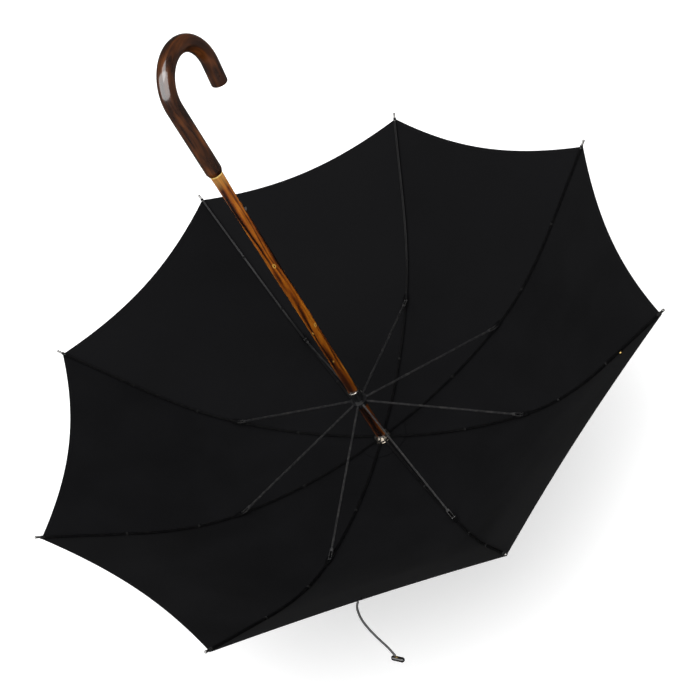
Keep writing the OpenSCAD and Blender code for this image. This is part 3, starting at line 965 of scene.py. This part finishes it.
def thread_tree(name, ring):
    """Geometry Nodes: short stitches along a line, or rings round it."""
    tree = bpy.data.node_groups.new(name, "GeometryNodeTree")
    tree.interface.new_socket("Geometry", in_out="OUTPUT", socket_type="NodeSocketGeometry")
    tree.interface.new_socket("Line", in_out="INPUT", socket_type="NodeSocketGeometry")
    sizes = {}
    for label, kind in (
        ("Spacing", "NodeSocketFloat"), ("Thread Radius", "NodeSocketFloat"),
        ("Half Length", "NodeSocketFloat"), ("Thread", "NodeSocketMaterial"),
    ):
        sizes[label] = tree.interface.new_socket(label, in_out="INPUT", socket_type=kind)
    given = tree.nodes.new("NodeGroupInput")
    line = tree.nodes.new("GeometryNodeMeshToCurve")
    tree.links.new(given.outputs["Line"], line.inputs["Mesh"])
    spaced = tree.nodes.new("GeometryNodeResampleCurve")
    spaced.mode = "LENGTH"
    tree.links.new(line.outputs["Curve"], spaced.inputs["Curve"])
    tree.links.new(given.outputs["Spacing"], spaced.inputs["Length"])
    if ring:
        path = tree.nodes.new("GeometryNodeCurvePrimitiveCircle")
        path.inputs["Resolution"].default_value = 14
        tree.links.new(given.outputs["Half Length"], path.inputs["Radius"])
        profile = tree.nodes.new("GeometryNodeCurvePrimitiveCircle")
        profile.inputs["Resolution"].default_value = 5
        tree.links.new(given.outputs["Thread Radius"], profile.inputs["Radius"])
        shape = tree.nodes.new("GeometryNodeCurveToMesh")
        tree.links.new(path.outputs["Curve"], shape.inputs["Curve"])
        tree.links.new(profile.outputs["Curve"], shape.inputs["Profile Curve"])
    else:
        shape = tree.nodes.new("GeometryNodeMeshUVSphere")
        shape.inputs["Segments"].default_value = 6
        shape.inputs["Rings"].default_value = 4
        shape.inputs["Radius"].default_value = 1
    aligned = tree.nodes.new("FunctionNodeAlignRotationToVector")
    aligned.axis = "Z"
    tangent = tree.nodes.new("GeometryNodeInputTangent")
    tree.links.new(tangent.outputs["Tangent"], aligned.inputs["Vector"])
    placed = tree.nodes.new("GeometryNodeInstanceOnPoints")
    tree.links.new(spaced.outputs["Curve"], placed.inputs["Points"])
    tree.links.new(shape.outputs["Mesh"], placed.inputs["Instance"])
    tree.links.new(aligned.outputs["Rotation"], placed.inputs["Rotation"])
    if not ring:
        size = tree.nodes.new("ShaderNodeCombineXYZ")
        tree.links.new(given.outputs["Thread Radius"], size.inputs["X"])
        tree.links.new(given.outputs["Thread Radius"], size.inputs["Y"])
        tree.links.new(given.outputs["Half Length"], size.inputs["Z"])
        tree.links.new(size.outputs["Vector"], placed.inputs["Scale"])
    real = tree.nodes.new("GeometryNodeRealizeInstances")
    tree.links.new(placed.outputs["Instances"], real.inputs["Geometry"])
    dyed = tree.nodes.new("GeometryNodeSetMaterial")
    tree.links.new(real.outputs["Geometry"], dyed.inputs["Geometry"])
    tree.links.new(given.outputs["Thread"], dyed.inputs["Material"])
    done = tree.nodes.new("NodeGroupOutput")
    tree.links.new(dyed.outputs["Geometry"], done.inputs["Geometry"])
    return tree, sizes


black_thread = thread()
stitch_tree, stitch_sizes = thread_tree("stitches", False)
whip_tree, whip_sizes = thread_tree("whipping", True)


def sewn(name, lines, spacing, thread_r, half_length, ring=False):
    """A piece of stitches or whipped rings along the given lines, as plain mesh."""
    points, edges = [], []
    for line in lines:
        edges += [(len(points) + i, len(points) + i + 1) for i in range(len(line) - 1)]
        points += line
    mesh = bpy.data.meshes.new(name)
    mesh.from_pydata([tuple(p) for p in points], edges, [])
    piece = bpy.data.objects.new(name, mesh)
    bpy.context.scene.collection.objects.link(piece)
    tree, sizes = (whip_tree, whip_sizes) if ring else (stitch_tree, stitch_sizes)
    rows = piece.modifiers.new("thread", "NODES")
    rows.node_group = tree
    rows[sizes["Spacing"].identifier] = spacing
    rows[sizes["Thread Radius"].identifier] = thread_r
    rows[sizes["Half Length"].identifier] = half_length
    rows[sizes["Thread"].identifier] = black_thread
    bpy.context.view_layer.update()
    made = bpy.data.meshes.new_from_object(
        piece.evaluated_get(bpy.context.evaluated_depsgraph_get())
    )
    piece.modifiers.clear()
    piece.data = made
    made.shade_smooth()
    return piece


def fell_line(k, side, start, end):
    """A line beside a rib on the cover's outside."""
    line = []
    for s in np.linspace(start, end, max(3, round((end - start) / 0.01))):
        w = 1 - fell_off / (cover_line(s)[0] * math.sin(half))
        line.append(cover_point(k, side, s, w) - cover_normal(k, side, s, w) * (cloth_t / 2))
    return line


def rib_line(k, start, end, off):
    """A short line along a rib's middle, moved by off to the cover's side."""
    line = []
    for s in np.linspace(start, end, 4):
        r, z, slope = rib_at(s)
        line.append(
            out(rib_azimuth(k)) * (r + off * math.sin(slope))
            + Vector((0, 0, notch_z + z - off * math.cos(slope)))
        )
    return line


stitch_r = 0.00022
stitch_half = 0.0011
fell_off = 0.0018
fell_stitch = 0.0032
hem_stitch = 0.0036
# Turns of thread that tie the cover to a rib: their length, spacing, thread and ring radius
tie_half = 0.0015
tie_step, tie_thread, tie_r, tie_off = 0.0006, 0.0003, 0.0026, 0.0007
tip_step, tip_thread, tip_r, tip_off = 0.0007, 0.0004, 0.0024, 0.0003
for k in ribs:
    for part, body, start, end in (
        ("inner", f"rib_{k}", 0.03, joint_s), ("outer", f"rib_outer_{k}", joint_s, rib_len - 0.006),
    ):
        lines = [fell_line(k, side, start, end) for side in (-1, 1)]
        felled = sewn(f"fell_stitches_{part}_{k}", lines, fell_stitch, stitch_r, stitch_half)
        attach(felled, body)
    for side in (-1, 1):
        hem_line = []
        for w in np.linspace(0.01, 0.97, 40):
            s = hem_at(w) - 0.8 * hem_w
            lift = cover_normal(k, side, s, w) * cloth_t * 1.5
            hem_line.append(cover_point(k, side, s, w) + lift)
        hemmed = sewn(
            f"hem_stitches_{k}{'ab'[side > 0]}", [hem_line], hem_stitch, stitch_r, stitch_half
        )
        gathered(hemmed, f"rib_outer_{k}", k, side, bands[-1][0], hem_end)
    for name, body, places in (
        ("cover_ties", f"rib_outer_{k}", (0.345, 0.470)), ("cover_tie_inner", f"rib_{k}", (0.150,)),
    ):
        lines = [rib_line(k, s - tie_half, s + tie_half, tie_off) for s in places]
        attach(sewn(f"{name}_{k}", lines, tie_step, tie_thread, tie_r, ring=True), body)
    tip = [rib_line(k, rib_len - 0.0045, rib_len - 0.0005, tip_off)]
    sewn_tip = sewn(f"tip_sewing_{k}", tip, tip_step, tip_thread, tip_r, ring=True)
    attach(sewn_tip, f"rib_outer_{k}")

# ---- joint guards ----
# A patch of cloth folded round the outside of each rib where the stretcher's fork is riveted,
# so that the rivet doesn't wear through the cover. Thread holds its two ends to the rib.
guard_len = 0.026
guard_rows = 12
# The patch's open end-on outline round the channel, from one lip to the other
guard_shape = [
    (-0.0041, 0.0034), (-0.0039, 0.0008), (-0.0030, -0.0016), (-0.0012, -0.0024),
    (0.0012, -0.0024), (0.0030, -0.0016), (0.0039, 0.0008), (0.0041, 0.0034),
]
# How wide and how high it stays where its ends are tied, and how much its outside grows
tied_w = 0.62
tied_h = 0.35
guard_grow = 0.09
for k in ribs:
    points, faces = [], []
    count = len(guard_shape)
    rows = guard_rows + 1
    for layer in (0, 1):
        grow = 1 + layer * guard_grow
        for i in range(rows):
            place = i / guard_rows
            r, z, slope = rib_at(joint_s + guard_len * (place - 0.5))
            gape = math.sin(math.pi * place) ** 0.5
            wide = (tied_w + (1 - tied_w) * gape) * grow
            high = (tied_h + (1 - tied_h) * gape) * grow
            up = -out(rib_azimuth(k)) * math.sin(slope) + Vector((0, 0, math.cos(slope)))
            for x, y in guard_shape:
                points.append(
                    out(rib_azimuth(k)) * r + Vector((0, 0, notch_z + z))
                    + across(rib_azimuth(k)) * x * wide
                    + up * (y * (high if y > 0 else grow))
                )

    def spot(layer, i, j):
        return (layer * rows + i) * count + j

    for i in range(rows - 1):
        for j in range(count - 1):
            inner = (spot(0, i, j), spot(0, i, j + 1), spot(0, i + 1, j + 1), spot(0, i + 1, j))
            outer = (spot(1, i, j), spot(1, i + 1, j), spot(1, i + 1, j + 1), spot(1, i, j + 1))
            faces += [inner, outer]
        for j in (0, count - 1):
            wall = [spot(0, i, j), spot(0, i + 1, j), spot(1, i + 1, j), spot(1, i, j)]
            faces.append(tuple(wall if j == 0 else wall[::-1]))
    for j in range(count - 1):
        for i in (0, rows - 1):
            wall = [spot(0, i, j + 1), spot(0, i, j), spot(1, i, j), spot(1, i, j + 1)]
            faces.append(tuple(wall if i == 0 else wall[::-1]))
    guard = new_piece(f"joint_guard_{k}", points, faces, cloth)
    uv = guard.data.uv_layers.new(name="cloth")
    for loop, corner in zip(guard.data.loops, uv.data):
        corner.uv = guard.data.vertices[loop.vertex_index].co.xz
    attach(guard, f"rib_{k}")

# ---- strap tab ----
# A short length of black tape, doubled over the strap's root and sewn inside the hem.
hem_slope = rib_at(hem_end - hem_scallop)[2]
tab_out = out(strap_azimuth) * math.cos(hem_slope) + Vector((0, 0, math.sin(hem_slope)))
tab_up = -out(strap_azimuth) * math.sin(hem_slope) + Vector((0, 0, math.cos(hem_slope)))
# The doubled tape from the side as [outwards, up from the hem], and half its width
tab_side = [
    (-0.009, 0.0009), (0.002, 0.0009), (0.003, 0.0012), (0.003, 0.0018), (0.002, 0.0021),
    (-0.009, 0.0021), (-0.009, 0.00155), (0.0015, 0.00155), (0.0015, 0.00145),
    (-0.009, 0.00145),
]
tab_half = 0.0035
tab_points = [
    hem_middle + tab_out * x + tab_up * y + across(strap_azimuth) * w
    for w in (-tab_half, tab_half) for x, y in tab_side
]
sides = len(tab_side)
tab_faces = [tuple(range(sides)), tuple(range(2 * sides - 1, sides - 1, -1))]
tab_faces += [(j, j + sides, (j + 1) % sides + sides, (j + 1) % sides) for j in range(sides)]
tab = new_piece("strap_tape", tab_points, tab_faces, cloth, smooth=False)
uv = tab.data.uv_layers.new(name="cloth")
for loop, corner in zip(tab.data.loops, uv.data):
    corner.uv = tab.data.vertices[loop.vertex_index].co.xy
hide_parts("strap_tab")
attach(tab, "strap_tab")
